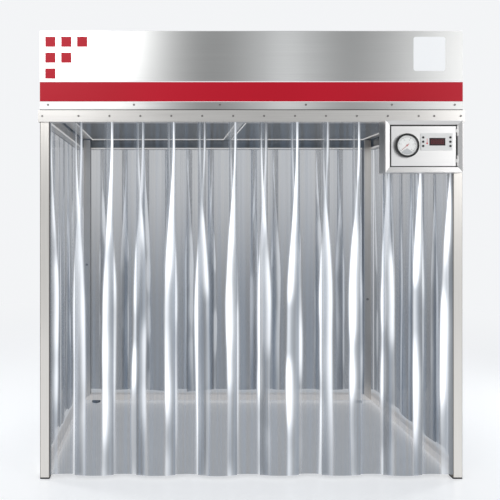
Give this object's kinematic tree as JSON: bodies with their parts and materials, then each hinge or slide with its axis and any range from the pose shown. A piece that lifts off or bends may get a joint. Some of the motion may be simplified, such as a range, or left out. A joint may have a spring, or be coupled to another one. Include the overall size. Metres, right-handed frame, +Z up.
{
  "type": "dispensing booth",
  "caption": "Stainless dispensing booth with clear strip curtains on all sides, a fan and filter header with a red band, and a hinged gauge and controller box.",
  "frame": {"origin": "on the floor, at the middle of the overall footprint", "axes": "+Z up, -Y towards the side with the instrument box, +X to the right seen from there"},
  "size_m": [2.2168, 1.423, 2.31],
  "materials": {
    "brushed_stainless": "brushed stainless tube and sheet",
    "header_stainless": "long vertical brushed grain, soft sheen",
    "clear_pvc": "clear flexible PVC, faint blue edge tint",
    "black_rubber": "matt moulded rubber",
    "bright_steel": "plated pan heads and hex heads",
    "filter_media": "white pleated filter sheet in a frame",
    "grey_sheet": "satin grey perforated sheet",
    "galvanised": "galvanised sheet",
    "black_paint": "black motor paint",
    "aluminium": "plain rolled sheet",
    "red_film": "gloss red film",
    "white_film": "gloss white film, blank",
    "black_plastic": "black moulding",
    "white_dial": "matt white dial with plain black ticks",
    "needle_paint": "red painted pointer",
    "clear_glass": "flat clear glass",
    "grey_plastic": "light grey satin plastic",
    "dark_window": "dark red filter window"
  },
  "bodies": {
    "booth": {"box_bracket": "brushed_stainless", "door_seal": "black_rubber", "fan_deck": "galvanised", "fan_motors": "black_paint", "fan_straps": "galvanised", "fascia_stripes": "red_film", "filter_tray": "brushed_stainless", "frame_bolts": "bright_steel", "front_clamp_bar": "brushed_stainless", "front_hanging_rail": "brushed_stainless", "front_left_post": "brushed_stainless", "front_post_pads": "black_rubber", "front_right_post": "brushed_stainless", "front_strips": "clear_pvc", "header_front_panel": "header_stainless", "header_gasket": "black_rubber", "header_left_panel": "header_stainless", "header_rear_panel": "header_stainless", "header_right_panel": "header_stainless", "header_roof": "header_stainless", "hinge_leaves": "brushed_stainless", "instrument_box": "brushed_stainless", "label_plate": "white_film", "left_clamp_bar": "brushed_stainless", "left_diffuser": "grey_sheet", "left_filter": "filter_media", "left_hanging_rail": "brushed_stainless", "left_lower_rail": "brushed_stainless", "left_strips": "clear_pvc", "panel_screws": "bright_steel", "prefilters": "filter_media", "rear_clamp_bar": "brushed_stainless", "rear_feet": "black_rubber", "rear_hanging_rail": "brushed_stainless", "rear_left_post": "brushed_stainless", "rear_lower_rail": "brushed_stainless", "rear_right_post": "brushed_stainless", "rear_strips": "clear_pvc", "right_clamp_bar": "brushed_stainless", "right_diffuser": "grey_sheet", "right_filter": "filter_media", "right_hanging_rail": "brushed_stainless", "right_lower_rail": "brushed_stainless", "right_strips": "clear_pvc"},
    "door": {"instrument_door": "brushed_stainless", "hinge_knuckles": "brushed_stainless", "gauge_case": "black_plastic", "gauge_dial": "white_dial", "gauge_lens": "clear_glass", "controller_case": "grey_plastic", "display_window": "dark_window"},
    "needle": {"gauge_needle": "needle_paint"},
    "left_fan": {"left_impeller": "aluminium"},
    "right_fan": {"right_impeller": "aluminium"},
    "button_1": {"button_1": "black_plastic"},
    "button_2": {"button_2": "black_plastic"},
    "button_3": {"button_3": "black_plastic"},
    "button_4": {"button_4": "black_plastic"},
    "button_5": {"button_5": "black_plastic"},
    "button_6": {"button_6": "black_plastic"}
  },
  "joints": [
    {"name": "door_hinge", "type": "hinge", "parent": "booth", "child": "door", "pos_m": [1.017, -0.70047, 1.707], "axis": [0, 0, 1], "range_deg": [0, 110]},
    {"name": "gauge_pointer", "type": "hinge", "parent": "door", "child": "needle", "pos_m": [0.763, -0.70247, 1.708], "axis": [0, 1, 0], "range_deg": [0, 265], "stiffness_Nm_per_rad": 0.002},
    {"name": "left_fan_spin", "type": "hinge", "parent": "booth", "child": "left_fan", "pos_m": [-0.54, 0.04254, 2.08], "axis": [0, 0, 1], "continuous": true},
    {"name": "right_fan_spin", "type": "hinge", "parent": "booth", "child": "right_fan", "pos_m": [0.54, 0.04254, 2.08], "axis": [0, 0, 1], "continuous": true},
    {"name": "button_1_press", "type": "slide", "parent": "door", "child": "button_1", "axis": [0, 1, 0], "range_m": [0, 0.0012], "stiffness_N_per_m": 400},
    {"name": "button_2_press", "type": "slide", "parent": "door", "child": "button_2", "axis": [0, 1, 0], "range_m": [0, 0.0012], "stiffness_N_per_m": 400},
    {"name": "button_3_press", "type": "slide", "parent": "door", "child": "button_3", "axis": [0, 1, 0], "range_m": [0, 0.0012], "stiffness_N_per_m": 400},
    {"name": "button_4_press", "type": "slide", "parent": "door", "child": "button_4", "axis": [0, 1, 0], "range_m": [0, 0.0012], "stiffness_N_per_m": 400},
    {"name": "button_5_press", "type": "slide", "parent": "door", "child": "button_5", "axis": [0, 1, 0], "range_m": [0, 0.0012], "stiffness_N_per_m": 400},
    {"name": "button_6_press", "type": "slide", "parent": "door", "child": "button_6", "axis": [0, 1, 0], "range_m": [0, 0.0012], "stiffness_N_per_m": 400}
  ]
}
